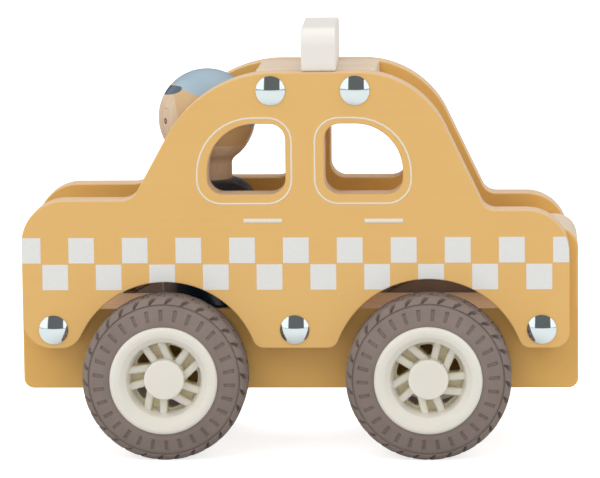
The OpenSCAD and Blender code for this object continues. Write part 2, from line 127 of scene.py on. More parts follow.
def add(tree, kind, sockets=None, **settings):
    """Adds a node, sets it up, then fills its sockets with values or with links."""
    node = tree.nodes.new(kind)
    for setting, value in settings.items():
        setattr(node, setting, value)
    for key, value in (sockets or {}).items():
        if isinstance(value, bpy.types.NodeSocket):
            tree.links.new(value, node.inputs[key])
        else:
            node.inputs[key].default_value = value
    return node


def out(tree, kind, sockets=None, **settings):
    """Adds a node and returns its first output."""
    return add(tree, kind, sockets, **settings).outputs[0]


def maths(tree, operation, *values):
    """One step of arithmetic on values or links."""
    return out(tree, "ShaderNodeMath", dict(enumerate(values)), operation=operation)


def ranged(tree, value, low=0.0, high=1.0, to_low=0.0, to_high=1.0):
    """Moves a value from one range to another and keeps it in there."""
    return out(tree, "ShaderNodeMapRange", {0: value, 1: low, 2: high, 3: to_low, 4: to_high})


def blended(tree, share, first, second):
    """Mixes two colours."""
    return add(tree, "ShaderNodeMix", {0: share, 6: first, 7: second}, data_type="RGBA").outputs[2]


print("panel yellow in linear light:", [round(part, 3) for part in linear("#E7BA71")])

# %% [markdown]
# ## Studio
# The photograph has a white ground and soft light from all round. The bolts show the room: white on both
# sides, dark behind the camera and a pale table below. So the sky lights the toy evenly, the camera sees
# it white, and only mirror-like surfaces see the dark gap, which is fixed in the room and not to the eye.

# %% Sky
SKY_LEVEL = 0.84
LAMP_WALL_LEVEL = 1.15
GAP_LEVEL = 0.14
GAP_LEFT, GAP_RIGHT = -0.28, 0.37
GAP_SOFT = 0.02
HORIZON = 0.015

world = bpy.data.worlds.new("studio")
world.use_nodes = True
scene.world = world
sky = world.node_tree
ray = add(sky, "ShaderNodeLightPath").outputs
aim = add(sky, "ShaderNodeSeparateXYZ", {0: add(sky, "ShaderNodeTexCoord").outputs["Generated"]}).outputs
# A dome that faces the camera shows this slope as the distance from its upright middle line
ahead = maths(sky, "MULTIPLY_ADD", maths(sky, "ABSOLUTE", aim["Y"]), 2.0, 2.0)
slope = maths(sky, "DIVIDE", aim["X"], maths(sky, "SQRT", ahead))
left = ranged(sky, slope, GAP_LEFT, GAP_LEFT - GAP_SOFT)
right = ranged(sky, slope, GAP_RIGHT, GAP_RIGHT + GAP_SOFT)
above = maths(sky, "GREATER_THAN", aim["Z"], HORIZON)
white = maths(sky, "MULTIPLY", maths(sky, "MAXIMUM", left, right), above)
room = ranged(sky, white, to_low=GAP_LEVEL, to_high=LAMP_WALL_LEVEL)
plain = ranged(sky, ray["Is Camera Ray"], to_low=SKY_LEVEL)
mirror = out(sky, "ShaderNodeMix", {0: ray["Is Glossy Ray"], 2: plain, 3: room})
sky.links.new(mirror, sky.nodes["Background"].inputs["Strength"])
sky.nodes["Background"].inputs["Color"].default_value = linear("#FFFFFF")
print("sky: level", SKY_LEVEL, "on the toy, white to the camera")

# %% [markdown]
# The table is a plain pale sheet. Part of its white comes from the light that falls on it, so the toy
# keeps its shadow, and part is given to camera and mirror rays only, so that the sheet looks white
# without throwing more light up at the toy. Three big soft lamps shape the edges.

# %% Table and lamps
TABLE_HALF = 4.0
TABLE_GLOW = 0.74
MIRROR_GLOW = 0.12
LAMP_AIM = Vector((0, 0, 0.06))
# Each lamp's place, its size in metres and its power in watts
LAMPS = {
    "key_lamp": ((-0.9, -1.1, 1.3), 1.1, 7.0),
    "fill_lamp": ((1.1, -0.9, 1.0), 0.9, 3.0),
    "top_lamp": ((0.1, 0.5, 1.5), 1.0, 5.5),
}

sheet = bmesh.new()
bmesh.ops.create_grid(sheet, x_segments=1, y_segments=1, size=TABLE_HALF)
table_mesh = bpy.data.meshes.new("table")
sheet.to_mesh(table_mesh)
sheet.free()
table = placed("table", table_mesh)
table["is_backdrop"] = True

paper = bpy.data.materials.new("white_paper")
paper.use_nodes = True
tree = paper.node_tree
matt = tree.nodes["Principled BSDF"]
matt.inputs["Base Color"].default_value = linear("#DADADA")
matt.inputs["Roughness"].default_value = 1.0
matt.inputs["Specular IOR Level"].default_value = 0.0
ray = add(tree, "ShaderNodeLightPath").outputs
mirrored = maths(tree, "MULTIPLY", ray["Is Glossy Ray"], MIRROR_GLOW)
glow = maths(tree, "MULTIPLY_ADD", ray["Is Camera Ray"], TABLE_GLOW, mirrored)
tree.links.new(glow, matt.inputs["Emission Strength"])
table_mesh.materials.append(paper)

for name, (place, size, power) in LAMPS.items():
    light = bpy.data.lights.new(name, "AREA")
    light.size = size
    light.energy = power
    lamp = placed(name, light)
    lamp.location = place
    lamp.rotation_euler = (LAMP_AIM - Vector(place)).to_track_quat("-Z", "Y").to_euler()
    lamp.visible_glossy = False
print("lamps:", ", ".join(LAMPS))

# %% [markdown]
# ## Sprayed paint
# The sides are sprayed with a water-based paint, sanded and sprayed again. The film is even, but it drifts
# a little in tone over a hand's width, has a fine orange peel where the drops flowed together, and shows
# the wood's lines faintly. Noise textures on Object coordinates give all three at their real sizes.

# %% Helpers for finishes
def start_finish(name, roughness, ior=1.5):
    """Starts a finish. Returns it with its tree, its shader and the place on the object in millimetres."""
    finish = bpy.data.materials.new(name)
    finish.use_nodes = True
    tree = finish.node_tree
    shader = tree.nodes["Principled BSDF"]
    shader.inputs["Roughness"].default_value = roughness
    shader.inputs["IOR"].default_value = ior
    metres = add(tree, "ShaderNodeTexCoord").outputs["Object"]
    place = out(tree, "ShaderNodeVectorMath", {0: metres, 1: (1 / MM,) * 3}, operation="MULTIPLY")
    return finish, tree, shader, place


def noise(tree, place, size, detail):
    """A noise pattern with waves of a size in millimetres, or of three sizes along the axes."""
    if not isinstance(size, (int, float)):
        place = out(tree, "ShaderNodeMapping", {"Vector": place, "Scale": [1 / length for length in size]})
        size = 1
    return out(tree, "ShaderNodeTexNoise", {"Vector": place, "Scale": 1 / size, "Detail": detail})


def vary(tree, shader, pattern, tones=None, sheen=None, bump=None):
    """Lets a pattern vary a finish: its colour between two tones, its roughness between two values, and its
    height by a bump of a strength and millimetres."""
    if tones:
        tree.links.new(blended(tree, pattern, *map(linear, tones)), shader.inputs["Base Color"])
    if sheen:
        rough = ranged(tree, pattern, to_low=sheen[0], to_high=sheen[1])
        tree.links.new(rough, shader.inputs["Roughness"])
    if bump:
        raised = {"Strength": bump[0], "Distance": bump[1] * MM, "Height": pattern}
        tree.links.new(out(tree, "ShaderNodeBump", raised), shader.inputs["Normal"])


print("a finish starts from one shader, and patterns vary its colour, sheen and height")

# %% Paint
DRIFT_MM = 40
# The lines of the wood are about 1.5 mm apart and run the length of the board
BOARD_MM = (60, 1.5, 1.5)
# Orange peel has waves of about 0.9 mm
PEEL_MM = 0.9


def sprayed_paint(name, tones, roughness, peel=0.004):
    """Sprayed paint on sanded wood: an even film, so the eye gets a flat tone with a soft, broken sheen."""
    finish, tree, shader, place = start_finish(name, roughness)
    drift = maths(tree, "MULTIPLY", noise(tree, place, DRIFT_MM, 3.0), 0.7)
    tone = maths(tree, "MULTIPLY_ADD", noise(tree, place, BOARD_MM, 2.0), 0.3, drift)
    vary(tree, shader, ranged(tree, tone, 0.3, 0.7), tones)
    waves = noise(tree, place, PEEL_MM, 2.0)
    vary(tree, shader, waves, sheen=(roughness - 0.05, roughness + 0.05), bump=(0.6, peel))
    return finish


yellow_paint = sprayed_paint("yellow_satin_paint", ("#E7BA71", "#E4B56A"), roughness=0.48)
# Inner faces and the blocks' sides get a deeper, more saturated yellow: painted shade, for the paint in the
# shade between the sides
shade_tinted_paint = sprayed_paint("yellow_paint_tinted_for_shade", ("#E7B765", "#E3B15D"), roughness=0.55)
sign_paint = sprayed_paint("off_white_satin_paint", ("#EFEBE5", "#EAE6DF"), roughness=0.42)
navy_lacquer = sprayed_paint("navy_gloss_lacquer", ("#1A2D3D", "#152737"), roughness=0.2, peel=0.002)
print("paints:", ", ".join(p.name for p in (yellow_paint, shade_tinted_paint, sign_paint, navy_lacquer)))

# %% [markdown]
# ## Sanded wood
# The edges of the sides, the blocks and the driver's head are bare pale hardwood under a thin matt oil.
# Such wood, beech for one, has soft lines along the board and short dark flecks. Both come from noise
# that is stretched along the grain, and a shallow bump lets the lines catch the light.

# %% Bare wood
LINE_MM = 1.3
LINE_LENGTH_MM = 45
# Real flecks are 0.1 mm wide, too fine for this picture, so they are drawn three times as wide
FLECK_MM = 0.3
FLECK_LENGTH_MM = 2.6
FLECK_COLOUR = "#A9835C"


def sanded_wood(name, tones, along):
    """Oiled and sanded pale hardwood, its grain along an axis: quiet lines, small flecks and a dry sheen."""
    finish, tree, shader, place = start_finish(name, 0.55)
    line_mm, fleck_mm = [LINE_MM] * 3, [FLECK_MM] * 3
    line_mm[along], fleck_mm[along] = LINE_LENGTH_MM, FLECK_LENGTH_MM
    lines = ranged(tree, noise(tree, place, line_mm, 4.0), 0.3, 0.7)
    flecks = ranged(tree, noise(tree, place, fleck_mm, 1.0), 0.62, 0.74, to_high=0.35)
    vary(tree, shader, lines, tones, sheen=(0.5, 0.64), bump=(0.5, 0.02))
    plain_wood = shader.inputs["Base Color"].links[0].from_socket
    wood = blended(tree, flecks, plain_wood, linear(FLECK_COLOUR))
    tree.links.new(wood, shader.inputs["Base Color"])
    return finish


edge_wood = sanded_wood("sanded_beech_edges", ("#E4C8A9", "#D9B895"), along=0)
block_wood = sanded_wood("sanded_lime_blocks", ("#E4D4C0", "#D7C2A9"), along=0)
head_wood = sanded_wood("turned_beech", ("#DAC2A7", "#D1B595"), along=2)
print("woods:", edge_wood.name, block_wood.name, head_wood.name)

# %% [markdown]
# ## Pieces that stand for CAD nodes
# Every finished piece rides on the body of the CAD node it stands for, or lies on, and hides that node
# when it stands for it. The record says which node belongs to which body, so one function can look all of it
# up.

# %% Helpers for pieces
record = frame["record"]
body_of = {node: body for body, held in record["behaviour"]["bodies"].items() for node in held}


def finished(name, mesh, node, stands_for=True):
    """Makes a finished piece of a mesh. It rides with a node and, if it stands for it, takes its place."""
    piece = placed(name, mesh)
    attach(piece, body_of[node])
    if stands_for:
        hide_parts(node)
    print(f"{name}: {len(mesh.polygons)} faces, rides on {body_of[node]}")
    return piece


def smooth(mesh, crease):
    """Shades a mesh smoothly, but keeps edges sharp that turn by more than the crease in degrees."""
    mesh.shade_smooth()
    mesh.set_sharp_from_angle(angle=radians(crease))


def as_mesh(shape, name, finishes=(), crease=35):
    """Turns a bmesh into a smooth-shaded mesh with its finishes. Edges sharper than crease stay sharp."""
    mesh = bpy.data.meshes.new(name)
    shape.to_mesh(mesh)
    shape.free()
    for finish in finishes:
        mesh.materials.append(finish)
    smooth(mesh, crease)
    return mesh


print("bodies:", sorted(set(body_of.values())))

# %% [markdown]
# ## Sides and blocks
# The sides are sawn from board, sanded so that every edge is a little round, and painted on their flat
# faces only. A copy of the CAD solid gets that round edge from a bevel. Faces that look sideways are
# paint, all others are bare wood, so the paint ends where the sanding began, as on the toy.

# %% Rounded copies of the CAD solids
WELD = 0.002 * MM
# Heights that differ by less than this count as the same
NEAR = 0.01 * MM
CORNER = radians(40)
# A face looks sideways if its normal has at least this much of Y
SIDEWAYS = 0.6


def softened(node, radius, seam=None):
    """Copies a CAD node with its triangles merged into whole faces and its sharp edges rounded. Edges that
    lie at the height of a glued seam stay sharp."""
    shape = bmesh.new()
    shape.from_mesh(nodes[node].data)
    bmesh.ops.remove_doubles(shape, verts=shape.verts, dist=WELD)
    bmesh.ops.dissolve_limit(shape, angle_limit=radians(1), verts=shape.verts, edges=shape.edges)
    sharp = [edge for edge in shape.edges if edge.calc_face_angle(0) > CORNER]
    if seam is not None:
        sharp = [edge for edge in sharp if max(abs(end.co.z - seam) for end in edge.verts) > NEAR]
    bmesh.ops.bevel(
        shape, geom=sharp, offset=radius * MM, segments=3, profile=0.5, affect="EDGES", clamp_overlap=False)
    return shape


def paint_sides(shape, outside):
    """Gives faces that look sideways a coat of paint, and all others bare wood. Outside is the way that a
    side panel's outer face looks along Y; that face gets the plain yellow, and the other painted faces get
    the yellow tinted deeper as painted shade."""
    for face in shape.faces:
        painted = abs(face.normal.y) > SIDEWAYS
        # Index 1 is the yellow tinted deeper, a painted shade
        face.material_index = (0 if face.normal.y * outside > 0 else 1) if painted else 2


def level_shading(piece):
    """Lets big flat faces set the shading, so that a rounded edge doesn't tint them."""
    piece.modifiers.new("level_shading", "WEIGHTED_NORMAL").keep_sharp = True


print("edges that turn by more than", round(degrees(CORNER)), "degrees are rounded")

# %% Sides, chassis, rear block and roof block
SIDES = {"left": -1, "right": 1}
EDGE_R_MM = {"left_side_panel": 0.45, "right_side_panel": 0.45, "chassis_block": 0.6, "rear_block": 1.0}
# The rear block is glued on the chassis before both are painted, so the paint hides their seam
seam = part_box("chassis_block")[1][2]
for node, radius in EDGE_R_MM.items():
    block = "panel" not in node
    shape = softened(node, radius, seam if block else None)
    paint_sides(shape, outside=SIDES.get(node.split("_")[0], 0))
    # The chassis top takes the darker, warmer edge wood, not the pale block wood: painted shade under the
    # sides
    wood = block_wood if node == "rear_block" else edge_wood
    level_shading(finished("soft_" + node, as_mesh(shape, node, [yellow_paint, shade_tinted_paint, wood]), node))

roof = as_mesh(softened("roof_block", 0.8), "roof_block", [block_wood])
level_shading(finished("soft_roof_block", roof, "roof_block"))

# %% [markdown]
# ## Roof sign
# The sign is a block of wood, sanded round and sprayed off-white. It was set by hand, so it stands a
# little out of square on its two dowels, and the camera sees less of its rear face.

# %% Roof sign
SIGN_TURN = radians(1.2)

sign = as_mesh(softened("roof_sign", 0.9), "roof_sign", [sign_paint])
sign_low, sign_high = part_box("roof_sign")
sign_middle = Matrix.Translation((Vector(sign_low) + Vector(sign_high)) / 2)
sign.transform(sign_middle @ Matrix.Rotation(SIGN_TURN, 4, "Z") @ sign_middle.inverted())
level_shading(finished("soft_roof_sign", sign, "roof_sign"))

# %% [markdown]
# ## Printed checkers
# Two rows of off-white squares are screen printed along each side, half a step apart, and the wheel
# arches cut some of them off. A row of squares is a job for Geometry Nodes: two lines of points carry
# thin boxes, and what the boxes share with the side, moved out by the film of ink, is the print.

# %% Helpers for Geometry Nodes
def start_tree(name, sizes):
    """Starts a Geometry Nodes tree with a mesh input, named inputs for its sizes and a mesh output."""
    tree = bpy.data.node_groups.new(name, "GeometryNodeTree")
    tree.interface.new_socket("Mesh", in_out="INPUT", socket_type="NodeSocketGeometry")
    for label, kind in sizes.items():
        tree.interface.new_socket(label, in_out="INPUT", socket_type="NodeSocket" + kind)
    tree.interface.new_socket("Mesh", in_out="OUTPUT", socket_type="NodeSocketGeometry")
    return tree, add(tree, "NodeGroupInput").outputs


def copies_at(tree, points, single, turn=(0, 0, 0)):
    """Puts a copy of a shape, turned if asked, at every point, and makes the copies real geometry."""
    spread = {"Points": points, "Instance": single, "Rotation": turn}
    spread = out(tree, "GeometryNodeInstanceOnPoints", spread)
    return out(tree, "GeometryNodeRealizeInstances", {0: spread})


def end_tree(tree, grown, finish):
    """Ends a tree: what it has grown gets its finish."""
    dressed = out(tree, "GeometryNodeSetMaterial", {"Geometry": grown, "Material": finish})
    add(tree, "NodeGroupOutput", {"Mesh": dressed})


def grow(tree, mesh, values):
    """Runs a tree on a mesh with values for its named inputs, and returns the result as a plain mesh."""
    holder = placed("holder", mesh)
    run = holder.modifiers.new("grow", "NODES")
    run.node_group = tree
    for socket in tree.interface.items_tree:
        if socket.in_out == "INPUT" and socket.name in values:
            run[socket.identifier] = values[socket.name]
    depsgraph = bpy.context.evaluated_depsgraph_get()
    result = bpy.data.meshes.new_from_object(holder.evaluated_get(depsgraph), depsgraph=depsgraph)
    holder.modifiers.remove(run)
    bpy.data.objects.remove(holder)
    return result


print("trees start from a mesh and end in a dressed one")

# %% [markdown]
# The ink is a matt off-white with the faint speckle of the screen's mesh.

# %% Ink
# A printing screen has about 15 threads in a millimetre; its speckle is drawn at 0.5 mm so that it shows
SCREEN_MM = 0.5


def printed_ink(name, tones):
    """Screen printed ink: a thin matt film that covers well, with a faint speckle from the screen."""
    ink, tree, shader, place = start_finish(name, 0.5)
    speckle = ranged(tree, noise(tree, place, SCREEN_MM, 2.0), 0.35, 0.65)
    vary(tree, shader, speckle, tones, sheen=(0.46, 0.56))
    return ink


white_ink = printed_ink("white_screen_ink", ("#E8E8E6", "#E2E2DF"))
ivory_ink = printed_ink("ivory_screen_ink", ("#F1E7D4", "#EADFC9"))
print("inks:", white_ink.name, ivory_ink.name)

# %% [markdown]
# The squares could be cut out one by one, but a tree with named sizes makes them all, and one changed size
# moves every square. The boxes are cut to the side's real outline, so no square hangs over an arch.

# %% Checker tree
SQUARE = 8.1 * MM
STEP = 16.93 * MM
UPPER_START = Vector((-85.0, 0, 65.75)) * MM
LOWER_START = Vector((-76.45, 0, 57.25)) * MM
UPPER_COUNT = 11
LOWER_COUNT = 10
FILM = 0.05 * MM
# The boxes reach this far into the side and out of it
BITE = 0.12 * MM

checker, given = start_tree("checker_print", {
    "Square": "Float", "Step": "Float", "Upper start": "Vector", "Lower start": "Vector",
    "Upper count": "Int", "Lower count": "Int", "Film": "Vector", "Bite": "Float", "Ink": "Material"})
step = out(checker, "ShaderNodeCombineXYZ", {"X": given["Step"]})
rows = add(checker, "GeometryNodeJoinGeometry")
for row in ("Upper", "Lower"):
    points = out(checker, "GeometryNodeMeshLine", {
        "Count": given[row + " count"], "Start Location": given[row + " start"], "Offset": step})
    checker.links.new(points, rows.inputs[0])
bite = maths(checker, "MULTIPLY", given["Bite"], 2.0)
size = out(checker, "ShaderNodeCombineXYZ", {"X": given["Square"], "Y": bite, "Z": given["Square"]})
boxes = copies_at(checker, rows.outputs[0], out(checker, "GeometryNodeMeshCube", {"Size": size}))
raised = out(checker, "GeometryNodeTransform", {"Geometry": given["Mesh"], "Translation": given["Film"]})
shared = add(checker, "GeometryNodeMeshBoolean", operation="INTERSECT", solver="MANIFOLD")
for part in (boxes, raised):
    checker.links.new(part, shared.inputs["Mesh 2"])
end_tree(checker, shared.outputs[0], given["Ink"])
print("checker tree:", len(checker.nodes), "nodes")

# %% Checkers on both sides
def side_face(side):
    """The Y of the outer face of a side."""
    low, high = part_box(side + "_side_panel")
    return low[1] if SIDES[side] < 0 else high[1]


for side, outwards in SIDES.items():
    panel = side + "_side_panel"
    face = Vector((0, side_face(side), 0))
    solid = as_mesh(softened(panel, EDGE_R_MM[panel]), "solid")
    squares = grow(checker, solid, {
        "Square": SQUARE, "Step": STEP, "Upper start": UPPER_START + face, "Lower start": LOWER_START + face,
        "Upper count": UPPER_COUNT, "Lower count": LOWER_COUNT,
        "Film": (0.0, outwards * FILM, 0.0), "Bite": BITE, "Ink": white_ink})
    finished(side + "_checkers", squares, panel, stands_for=False)

# %% [markdown]
# ## Printed lines
# A thin line runs round each window and a short bar stands for each door handle. They are part of the
# same print. Each line is a path that Curve to Mesh gives the width of the line and the film of the ink.

# %% Paths with round corners
def rounded_path(corners, step=10):
    """Rounds each (x, y, radius) corner of a path with an arc of short straight steps."""
    path = []
    for at, (x, y, radius) in enumerate(corners):
        here = Vector((x, y))
        if radius == 0:
            path.append(here)
            continue
        back = (Vector(corners[at - 1][:2]) - here).normalized()
        ahead = (Vector(corners[(at + 1) % len(corners)][:2]) - here).normalized()
        half = back.angle(ahead) / 2
        middle = here + (back + ahead).normalized() * radius / sin(half)
        spoke = here + back * radius / tan(half) - middle
        turn = (pi - 2 * half) * (-1 if back.cross(ahead) > 0 else 1)
        count = max(2, ceil(abs(degrees(turn)) / step))
        for stop in range(count + 1):
            path.append(middle + Matrix.Rotation(turn * stop / count, 2) @ spoke)
    return path


def path_mesh(path, y, closed):
    """Draws a path of (x, z) points in millimetres as the edges of a mesh, at a given Y in metres."""
    spots = [(x * MM, y, z * MM) for x, z in path]
    pairs = [(at, (at + 1) % len(path)) for at in range(len(path) - (0 if closed else 1))]
    mesh = bpy.data.meshes.new("path")
    mesh.from_pydata(spots, pairs, [])
    return mesh


print("paths are points joined by short straight steps")

# %% Window lines and door handles
LINE_WIDE = 0.6 * MM
BAR_WIDE = 1.5 * MM
LINE_LOW, LINE_HIGH = 80.5, 107.5
# Front and rear X of each line; its upper corner towards that end of the car has the big radius
WINDOW_LINES = {"front": (-31.2, -1.5), "rear": (5.8, 36.0)}
CORNER_MM = 7.5
BIG_CORNER_MM = 17.5
# Front and rear X of each bar, and its height
HANDLE_BARS = {"front": (-16.7, -4.6, 75.05), "rear": (21.3, 33.3, 74.95)}

ribbon, given = start_tree("printed_line", {"Width": "Float", "Film": "Float", "Ink": "Material"})
curve = out(ribbon, "GeometryNodeMeshToCurve", {"Mesh": given["Mesh"]})
profile = {"Width": given["Film"], "Height": given["Width"]}
profile = out(ribbon, "GeometryNodeCurvePrimitiveQuadrilateral", profile)
swept = {"Curve": curve, "Profile Curve": profile, "Fill Caps": True}
end_tree(ribbon, out(ribbon, "GeometryNodeCurveToMesh", swept), given["Ink"])

for side in SIDES:
    y = side_face(side)
    for window, (front, rear) in WINDOW_LINES.items():
        upper = {end: BIG_CORNER_MM if end == window else CORNER_MM for end in WINDOW_LINES}
        outline = rounded_path([
            (front, LINE_LOW, CORNER_MM), (rear, LINE_LOW, CORNER_MM),
            (rear, LINE_HIGH, upper["rear"]), (front, LINE_HIGH, upper["front"])])
        line = path_mesh(outline, y, closed=True)
        line = grow(ribbon, line, {"Width": LINE_WIDE, "Film": 2 * FILM, "Ink": ivory_ink})
        finished(f"{side}_{window}_window_line", line, side + "_side_panel", stands_for=False)
    for door, (front, rear, z) in HANDLE_BARS.items():
        dash = path_mesh([(front, z), (rear, z)], y, closed=False)
        bar = grow(ribbon, dash, {"Width": BAR_WIDE, "Film": 2 * FILM, "Ink": ivory_ink})
        finished(f"{side}_{door}_handle_bar", bar, side + "_side_panel", stands_for=False)

# %% [markdown]
# ## Bolts and nuts
# Five bolts with low domed heads hold the sandwich together, and five nuts with the same dome close it on
# the far side. They are pressed steel with a bright plate, so they mirror the room. One bolt is turned on
# a lathe, and Geometry Nodes put a copy at every spot where the CAD has one.

# %% Plated steel
# Polishing lines are a few hundredths of a millimetre wide; they are drawn at 0.25 mm
POLISH_MM = 0.25

plate, tree, shader, place = start_finish("bright_plated_steel", 0.06)
shader.inputs["Metallic"].default_value = 1.0
vary(tree, shader, noise(tree, place, POLISH_MM, 3.0), ("#EDF5F6", "#DDEBEE"), sheen=(0.04, 0.1))
print("plate:", plate.name)

# %% [markdown]
# A lathe turns a profile round an axis, and one function does the same. A Screw modifier could do it too,
# but a mesh that is made ring by ring has clean poles. The rims and the driver are turned with it as well.

# %% Turned shapes
def turned_shape(profile, steps):
    """Turns a profile of (radius, height) points in millimetres round the Z axis, as on a lathe."""
    shape = bmesh.new()
    rings = []
    for radius, height in profile:
        if radius == 0:
            rings.append([shape.verts.new((0, 0, height * MM))] * steps)
            continue
        round_z = [2 * pi * at / steps for at in range(steps)]
        ring = [(radius * cos(a) * MM, radius * sin(a) * MM, height * MM) for a in round_z]
        rings.append([shape.verts.new(spot) for spot in ring])
    for lower, upper in zip(rings, rings[1:]):
        for at in range(steps):
            after = (at + 1) % steps
            corners = [lower[at], lower[after], upper[after], upper[at]]
            whole = list(dict.fromkeys(corners))
            if len(whole) > 2:
                shape.faces.new(whole)
    bmesh.ops.recalc_face_normals(shape, faces=shape.faces)
    return shape


def arc(x, y, radius, start, stop, steps):
    """Points of an arc about (x, y), from one angle to another in degrees."""
    angles = [radians(start + (stop - start) * at / steps) for at in range(steps + 1)]
    return [(x + radius * cos(a), y + radius * sin(a)) for a in angles]


print("turned shapes have closed poles and faces that look outwards")

# %% Shape and places of the bolts
HEAD_R, HEAD_EDGE = 4.6, 0.4
HEAD_H = (side_face("left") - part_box("through_bolts")[0][1]) / MM
RISE = HEAD_H - HEAD_EDGE
BALL_R = (HEAD_R ** 2 + RISE ** 2) / (2 * RISE)
BOLT_R, SLEEVE_R = 2.0, 3.0
BOLT_SHORT_MM, SLEEVE_MM = 1.0, 9.0


def spots_of(node):
    """The (x, z) middle of every loose part of a CAD node."""
    shape = bmesh.new()
    shape.from_mesh(nodes[node].data)
    bmesh.ops.remove_doubles(shape, verts=shape.verts, dist=WELD)
    left, spots = set(shape.verts), []
    while left:
        edge, part = [left.pop()], []
        while edge:
            spot = edge.pop()
            part.append(spot.co)
            near = {link.other_vert(spot) for link in spot.link_edges} & left
            left -= near
            edge += near
        xs, zs = [co.x for co in part], [co.z for co in part]
        spots.append(((min(xs) + max(xs)) / 2, 0, (min(zs) + max(zs)) / 2))
    shape.free()
    return sorted(spots)


def dome_profile(shank_r, shank):
    """A domed head with a straight edge that stands on height 0, on a shank that reaches down."""
    foot = degrees(atan2(BALL_R - RISE, HEAD_R))
    dome = [(0, HEAD_H)] + arc(0, HEAD_H - BALL_R, BALL_R, 90, foot, 16)[1:]
    return dome + [(HEAD_R, 0), (shank_r, 0), (shank_r, -shank), (0, -shank)]


print("bolts:", len(spots_of("through_bolts")), "with heads", round(HEAD_H, 2), "mm high")

# %% Bolts and nuts
repeat, given = start_tree("fasteners", {"Shape": "Object", "Steel": "Material"})
single = add(repeat, "GeometryNodeObjectInfo", {"Object": given["Shape"]}).outputs["Geometry"]
end_tree(repeat, copies_at(repeat, given["Mesh"], single), given["Steel"])

BETWEEN_FACES = (side_face("right") - side_face("left")) / MM
for node, side, shank_r, shank in (
        ("through_bolts", "left", BOLT_R, BETWEEN_FACES - BOLT_SHORT_MM),
        ("cap_nuts", "right", SLEEVE_R, SLEEVE_MM)):
    shape = turned_shape(dome_profile(shank_r, shank), steps=64)
    outwards = Matrix.Rotation(-SIDES[side] * pi / 2, 4, "X")
    shape.transform(Matrix.Translation((0, side_face(side), 0)) @ outwards)
    # A tree takes a shape from an object in the scene, which is removed again afterwards
    single = placed("fastener", as_mesh(shape, "fastener"))
    points = bpy.data.meshes.new("spots")
    points.from_pydata(spots_of(node), [], [])
    mesh = grow(repeat, points, {"Shape": single, "Steel": plate})
    bpy.data.objects.remove(single)
    finished("domed_" + node, mesh, node)

# %% [markdown]
# ## Rims
# The rims are moulded in off-white ABS, a tough plastic with a soft gloss. The body is a turned profile;
# five holes are cut through its web and five pairs of spokes are added, which is a pattern round a hub
# and so one more tree. The corners of the profile are rounded as a moulding's are.

# %% Moulded plastic
# A spark-eroded mould leaves a grain of about 0.1 mm, drawn at 0.4 mm here
GRAIN_MM = 0.4
FLOW_MM = 12


def moulded_plastic(name, tones):
    """ABS from a grained mould: an even, soft gloss, so the eye gets clean forms and gentle corners."""
    finish, tree, shader, place = start_finish(name, 0.34, ior=1.54)
    vary(tree, shader, noise(tree, place, FLOW_MM, 2.0), tones)
    vary(tree, shader, noise(tree, place, GRAIN_MM, 2.0), sheen=(0.3, 0.4), bump=(0.4, 0.003))
    # Light enters this plastic about a millimetre deep, which softens its shaded corners and warms them
    shader.inputs["Subsurface Weight"].default_value = 0.4
    shader.inputs["Subsurface Radius"].default_value = (1.0, 0.8, 0.5)
    shader.inputs["Subsurface Scale"].default_value = 1.6 * MM
    return finish


abs_white = moulded_plastic("moulded_abs", ("#EBE8DF", "#E5E1D6"))
# The deep faces inside the web get a lighter, creamier tone: painted bounce light between the cream faces
abs_painted_bounce = moulded_plastic("moulded_abs_painted_bounce_light", ("#F3EBD0", "#EDE4C7"))
print("plastics:", abs_white.name, abs_painted_bounce.name)

# %% [markdown]
# The body of a rim is round, so its profile says all of it: the seat of the tyre, two flanges, a lip, the
# web and the hub. Every corner has a radius of its own, where one bevel would round all of them alike.

# %% Rim profile
rim_low, rim_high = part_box("front_left_rim")
WHEEL_W = (rim_high[1] - rim_low[1]) / MM
RIM_R = (rim_high[0] - rim_low[0]) / 2 / MM
SEAT_R, OPEN_R, WEB_R, HUB_R, BACK_R = 14.6, 12.0, 10.7, 6.3, 12.6
WEB_FRONT, WEB_BACK = WHEEL_W - 9.8, WHEEL_W - 12.3
SPOKE_TOP, HUB_FRONT = WHEEL_W - 6.2, WHEEL_W - 2.4
FLANGE, BORE_R, BORE_L = 1.6, 2.025, 14.0
# The inner flange is lower than the outer one
BACK_FLANGE_R = RIM_R - 0.8
LIP_CREST_R, LIP_FOOT_R = 15.3, 13.8
LIP_EDGE_DROP, LIP_FOOT_DROP, OPEN_DROP = 0.3, 0.6, 2.6
HUB_DRAFT = 0.1

# Each corner: its radius, its height and how far it is rounded
rim_corners = [
    (0, BORE_L, 0), (BORE_R, BORE_L, 0), (BORE_R, 0, 0), (HUB_R, 0, 0.3), (HUB_R, WEB_BACK, 0.4),
    (BACK_R, WEB_BACK, 0.4), (BACK_R, 0, 0.3), (BACK_FLANGE_R, 0, 0.4), (BACK_FLANGE_R, FLANGE, 0.3),
    (SEAT_R, FLANGE, 0), (SEAT_R, WHEEL_W - FLANGE, 0), (RIM_R, WHEEL_W - FLANGE, 0.2),
    (RIM_R, WHEEL_W - LIP_EDGE_DROP, 1.1), (LIP_CREST_R, WHEEL_W, 2.2),
    (LIP_FOOT_R, WHEEL_W - LIP_FOOT_DROP, 0.5), (OPEN_R, WHEEL_W - OPEN_DROP, 1.2),
    (WEB_R, WEB_FRONT, 0.6), (HUB_R + HUB_DRAFT, WEB_FRONT, 0.3), (HUB_R, HUB_FRONT, 0.6),
    (0, HUB_FRONT, 0)]
rim_profile = rounded_path(rim_corners, step=15)
print("rim profile:", len(rim_profile), "points")

# %% [markdown]
# The spokes stand in pairs that lean apart, with a hole between the two. A hole and a pair are drawn as flat
# outlines and raised to their height, as a mould maker would mill them.

